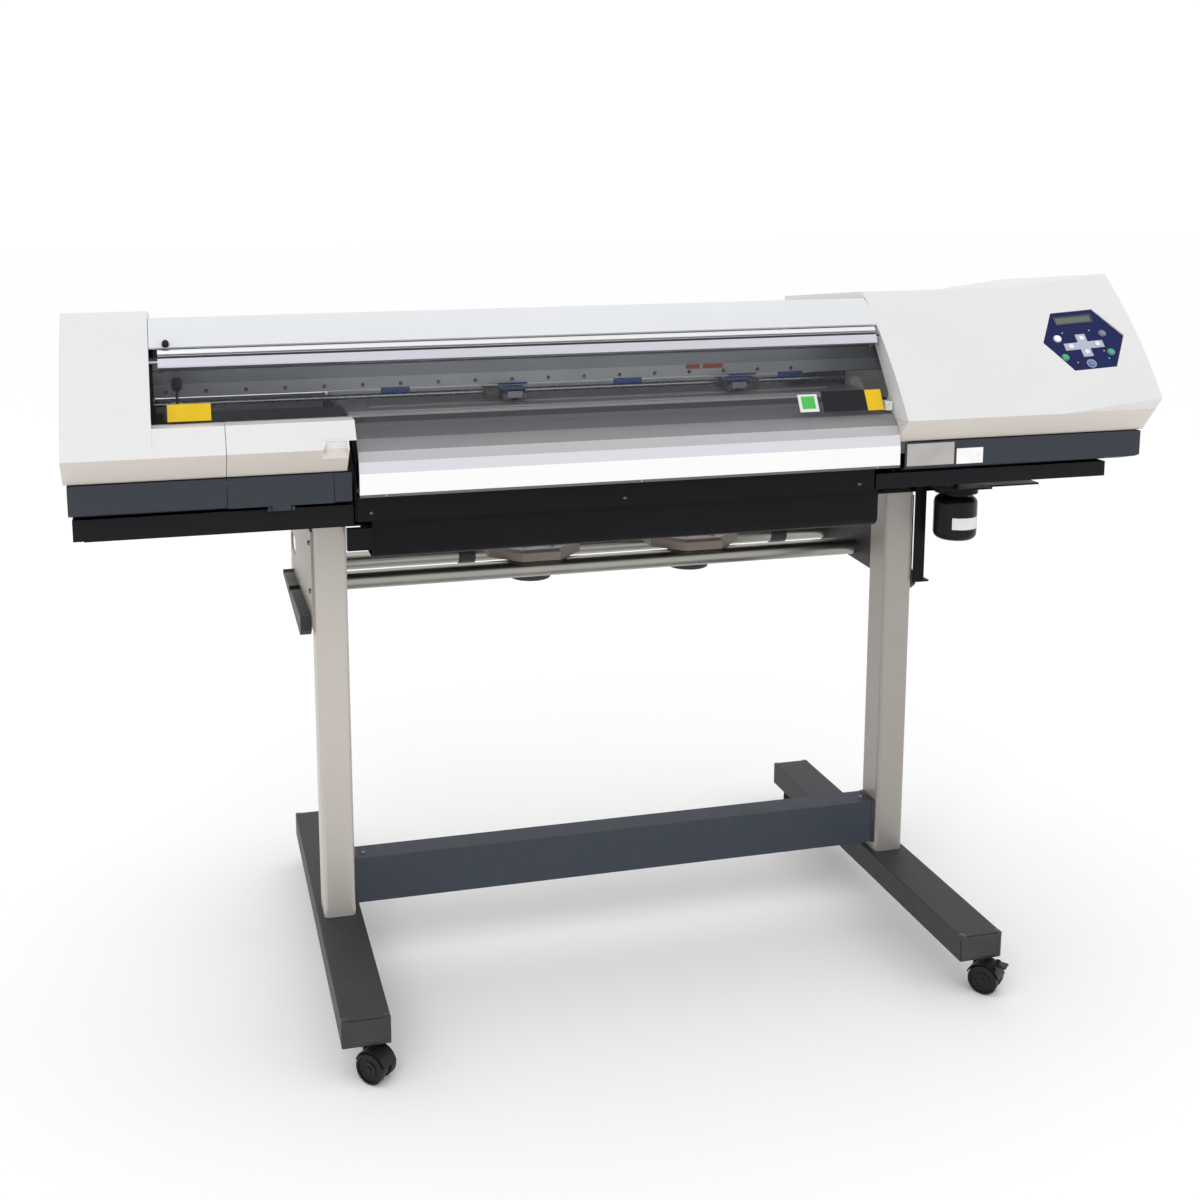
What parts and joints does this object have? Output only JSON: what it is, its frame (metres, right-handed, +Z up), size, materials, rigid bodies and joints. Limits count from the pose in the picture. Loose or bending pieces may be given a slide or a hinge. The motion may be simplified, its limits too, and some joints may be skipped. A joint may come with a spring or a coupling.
{
  "type": "vinyl cutter",
  "caption": "Roll-fed wide print-and-cut machine on a castered stand, with a smoked swing-up window over its guide rail, roll shafts behind and a key panel on its right.",
  "frame": {"origin": "on the floor, midway between the machine's two ends and between the front and rear casters", "axes": "+X to the right of someone facing the machine, +Y to the rear, +Z up"},
  "size_m": [1.7, 0.7747, 1.12],
  "materials": {
    "cover_white": "satin moulded, warm white",
    "panel_slate": "moulded slate",
    "tray_black": "moulded black",
    "frame_black": "black powder coat",
    "foot_grey": "dark grey powder coat",
    "post_silver": "silver paint",
    "beam_slate": "slate grey paint",
    "hanger_tan": "grey beige powder coat, black arms",
    "steel": "ground steel",
    "caster_black": "moulded black",
    "caster_wheel": "hard grey-black wheel",
    "flange_taupe": "moulded taupe",
    "bottle_dark": "blown smoky plastic",
    "bracket_black": "black paint",
    "platen_grey": "grey bed plate",
    "apron_white": "light grey paint",
    "rail_grey": "grey anodised",
    "screw_steel": "button-head screws",
    "inner_metal": "plain cases",
    "brass": "cut brass",
    "pinch_metal": "dark zinc",
    "pinch_rubber": "black rubber",
    "carriage_grey": "moulded dark grey",
    "window_smoke": "smoked clear sheet",
    "handle_metal": "satin anodised extrusion",
    "panel_navy": "navy printed film",
    "key_grey": "grey key",
    "key_white": "white key",
    "key_green": "green key",
    "key_blue": "pale blue key",
    "socket_black": "moulded black"
  },
  "bodies": {
    "machine": {"left_foot": "foot_grey", "right_foot": "foot_grey", "left_post": "post_silver", "right_post": "post_silver", "cross_beam": "beam_slate", "roll_hangers": "hanger_tan", "bottle_bracket": "bracket_black", "chassis": "frame_black", "front_beam": "frame_black", "lower_front_panel": "frame_black", "left_cover": "cover_white", "front_left_cover": "cover_white", "right_cover": "cover_white", "top_cover": "cover_white", "rear_cover": "cover_white", "lower_panels": "panel_slate", "drip_trays": "tray_black", "platen": "platen_grey", "apron": "apron_white", "inner_modules": "inner_metal", "guide_rail": "rail_grey", "machine_screws": "screw_steel", "panel_fascia": "panel_navy", "power_inlet": "socket_black"},
    "front_left_caster": {"front_left_caster_hood": "caster_black"},
    "front_left_wheels": {"front_left_caster_wheels": "caster_wheel"},
    "front_right_caster": {"front_right_caster_hood": "caster_black"},
    "front_right_wheels": {"front_right_caster_wheels": "caster_wheel"},
    "rear_left_caster": {"rear_left_caster_hood": "caster_black"},
    "rear_left_wheels": {"rear_left_caster_wheels": "caster_wheel"},
    "rear_right_caster": {"rear_right_caster_hood": "caster_black"},
    "rear_right_wheels": {"rear_right_caster_wheels": "caster_wheel"},
    "caster_brake": {"front_right_caster_brake": "caster_black"},
    "front_shaft": {"front_shaft": "steel"},
    "rear_shaft": {"rear_shaft": "steel"},
    "left_media_flange": {"left_media_flange": "flange_taupe"},
    "right_media_flange": {"right_media_flange": "flange_taupe"},
    "drain_bottle": {"drain_bottle": "bottle_dark"},
    "cartridge_door": {"cartridge_door": "panel_slate"},
    "front_window": {"window": "window_smoke", "handle_bar": "handle_metal"},
    "grit_roller": {"grit_roller": "steel"},
    "feed_pinion": {"feed_pinion": "brass"},
    "loading_lever": {"loading_lever": "steel"},
    "left_pinch_arm": {"left_pinch_arm": "pinch_metal"},
    "left_pinch_wheel": {"left_pinch_wheel": "pinch_rubber"},
    "right_pinch_arm": {"right_pinch_arm": "pinch_metal"},
    "right_pinch_wheel": {"right_pinch_wheel": "pinch_rubber"},
    "head_carriage": {"head_carriage": "carriage_grey"},
    "blade_holder": {"blade_holder": "steel"},
    "up_key": {"up_key": "key_grey"},
    "down_key": {"down_key": "key_grey"},
    "left_key": {"left_key": "key_grey"},
    "right_key": {"right_key": "key_grey"},
    "function_button": {"function_button": "key_white"},
    "menu_button": {"menu_button": "key_grey"},
    "enter_button": {"enter_button": "key_green"},
    "pause_button": {"pause_button": "key_green"},
    "power_button": {"power_button": "key_blue"},
    "power_switch": {"power_switch": "socket_black"}
  },
  "joints": [
    {"name": "front_left_swivel", "type": "hinge", "parent": "machine", "child": "front_left_caster", "pos_m": [-0.46575, -0.343, 0.054], "axis": [0, 0, 1], "continuous": true},
    {"name": "front_left_roll", "type": "hinge", "parent": "front_left_caster", "child": "front_left_wheels", "pos_m": [-0.45232, -0.35644, 0.023], "axis": [0.7071, 0.7071, 0], "continuous": true},
    {"name": "front_right_swivel", "type": "hinge", "parent": "machine", "child": "front_right_caster", "pos_m": [0.51555, -0.343, 0.054], "axis": [0, 0, 1], "continuous": true},
    {"name": "front_right_roll", "type": "hinge", "parent": "front_right_caster", "child": "front_right_wheels", "pos_m": [0.52776, -0.35756, 0.023], "axis": [0.766, 0.6428, 0], "continuous": true},
    {"name": "rear_left_swivel", "type": "hinge", "parent": "machine", "child": "rear_left_caster", "pos_m": [-0.46575, 0.343, 0.054], "axis": [0, 0, 1], "continuous": true},
    {"name": "rear_left_roll", "type": "hinge", "parent": "rear_left_caster", "child": "rear_left_wheels", "pos_m": [-0.45232, 0.35644, 0.023], "axis": [-0.7071, 0.7071, 0], "continuous": true},
    {"name": "rear_right_swivel", "type": "hinge", "parent": "machine", "child": "rear_right_caster", "pos_m": [0.51555, 0.343, 0.054], "axis": [0, 0, 1], "continuous": true},
    {"name": "rear_right_roll", "type": "hinge", "parent": "rear_right_caster", "child": "rear_right_wheels", "pos_m": [0.52776, 0.35756, 0.023], "axis": [-0.766, 0.6428, 0], "continuous": true},
    {"name": "caster_brake_press", "type": "hinge", "parent": "front_right_caster", "child": "caster_brake", "pos_m": [0.53837, -0.37019, 0.0493], "axis": [0.766, 0.6428, 0], "range_deg": [0, 12]},
    {"name": "front_shaft_turn", "type": "hinge", "parent": "machine", "child": "front_shaft", "pos_m": [0, 0.165, 0.6015], "axis": [1, 0, 0], "continuous": true},
    {"name": "rear_shaft_turn", "type": "hinge", "parent": "machine", "child": "rear_shaft", "pos_m": [0, 0.295, 0.6015], "axis": [1, 0, 0], "continuous": true},
    {"name": "left_media_flange_slide", "type": "slide", "parent": "machine", "child": "left_media_flange", "axis": [1, 0, 0], "range_m": [0, 0.12]},
    {"name": "right_media_flange_slide", "type": "slide", "parent": "machine", "child": "right_media_flange", "axis": [1, 0, 0], "range_m": [0, 0.1]},
    {"name": "bottle_turn", "type": "hinge", "parent": "machine", "child": "drain_bottle", "pos_m": [0.6, -0.09, 0.75], "axis": [0, 0, 1], "range_deg": [0, 540]},
    {"name": "cartridge_door_hinge", "type": "hinge", "parent": "machine", "child": "cartridge_door", "pos_m": [-0.55195, -0.2293, 0.823], "axis": [1, 0, 0], "range_deg": [0, 90]},
    {"name": "window_hinge", "type": "hinge", "parent": "machine", "child": "front_window", "pos_m": [0, -0.16015, 1.03224], "axis": [-1, 0, 0], "range_deg": [0, 85]},
    {"name": "grit_roller_turn", "type": "hinge", "parent": "machine", "child": "grit_roller", "pos_m": [0, -0.066, 0.931], "axis": [1, 0, 0], "continuous": true},
    {"name": "feed_pinion_turn", "type": "hinge", "parent": "machine", "child": "feed_pinion", "pos_m": [0.4178, -0.066, 0.90065], "axis": [1, 0, 0], "continuous": true},
    {"name": "loading_lever_turn", "type": "hinge", "parent": "machine", "child": "loading_lever", "pos_m": [0, -0.036, 0.952], "axis": [1, 0, 0], "range_deg": [0, 28]},
    {"name": "left_pinch_arm_lift", "type": "hinge", "parent": "machine", "child": "left_pinch_arm", "pos_m": [-0.172, -0.036, 0.952], "axis": [-1, 0, 0], "range_deg": [0, 10]},
    {"name": "left_pinch_wheel_turn", "type": "hinge", "parent": "left_pinch_arm", "child": "left_pinch_wheel", "pos_m": [-0.172, -0.066, 0.9473], "axis": [1, 0, 0], "continuous": true},
    {"name": "right_pinch_arm_lift", "type": "hinge", "parent": "machine", "child": "right_pinch_arm", "pos_m": [0.204, -0.036, 0.952], "axis": [-1, 0, 0], "range_deg": [0, 10]},
    {"name": "right_pinch_wheel_turn", "type": "hinge", "parent": "right_pinch_arm", "child": "right_pinch_wheel", "pos_m": [0.204, -0.066, 0.9473], "axis": [1, 0, 0], "continuous": true},
    {"name": "carriage_slide", "type": "slide", "parent": "machine", "child": "head_carriage", "axis": [1, 0, 0], "range_m": [-1.13, 0]},
    {"name": "blade_drop", "type": "slide", "parent": "head_carriage", "child": "blade_holder", "axis": [0, 0, -1], "range_m": [0, 0.005], "stiffness_N_per_m": 400, "springref_m": -0.004},
    {"name": "up_key_press", "type": "slide", "parent": "machine", "child": "up_key", "axis": [0.1108, 0.7487, -0.6536], "range_m": [0, 0.0015], "stiffness_N_per_m": 300, "springref_m": -0.001},
    {"name": "down_key_press", "type": "slide", "parent": "machine", "child": "down_key", "axis": [0.1108, 0.7487, -0.6536], "range_m": [0, 0.0015], "stiffness_N_per_m": 300, "springref_m": -0.001},
    {"name": "left_key_press", "type": "slide", "parent": "machine", "child": "left_key", "axis": [0.1108, 0.7487, -0.6536], "range_m": [0, 0.0015], "stiffness_N_per_m": 300, "springref_m": -0.001},
    {"name": "right_key_press", "type": "slide", "parent": "machine", "child": "right_key", "axis": [0.1108, 0.7487, -0.6536], "range_m": [0, 0.0015], "stiffness_N_per_m": 300, "springref_m": -0.001},
    {"name": "function_button_press", "type": "slide", "parent": "machine", "child": "function_button", "axis": [0.1108, 0.7487, -0.6536], "range_m": [0, 0.0015], "stiffness_N_per_m": 300, "springref_m": -0.001},
    {"name": "menu_button_press", "type": "slide", "parent": "machine", "child": "menu_button", "axis": [0.1108, 0.7487, -0.6536], "range_m": [0, 0.0015], "stiffness_N_per_m": 300, "springref_m": -0.001},
    {"name": "enter_button_press", "type": "slide", "parent": "machine", "child": "enter_button", "axis": [0.1108, 0.7487, -0.6536], "range_m": [0, 0.0015], "stiffness_N_per_m": 300, "springref_m": -0.001},
    {"name": "pause_button_press", "type": "slide", "parent": "machine", "child": "pause_button", "axis": [0.1108, 0.7487, -0.6536], "range_m": [0, 0.0015], "stiffness_N_per_m": 300, "springref_m": -0.001},
    {"name": "power_button_press", "type": "slide", "parent": "machine", "child": "power_button", "axis": [0.1108, 0.7487, -0.6536], "range_m": [0, 0.0015], "stiffness_N_per_m": 300, "springref_m": -0.001},
    {"name": "power_switch_rock", "type": "hinge", "parent": "machine", "child": "power_switch", "pos_m": [0.574, 0.197, 0.81], "axis": [1, 0, 0], "range_deg": [0, 12]}
  ],
  "couplings": [
    {"joint": "feed_pinion_turn", "follows": "grit_roller_turn", "ratio": -4},
    {"joint": "left_pinch_arm_lift", "follows": "loading_lever_turn", "ratio": 0.35},
    {"joint": "left_pinch_wheel_turn", "follows": "grit_roller_turn", "ratio": -1.2857},
    {"joint": "right_pinch_arm_lift", "follows": "loading_lever_turn", "ratio": 0.35},
    {"joint": "right_pinch_wheel_turn", "follows": "grit_roller_turn", "ratio": -1.2857}
  ]
}
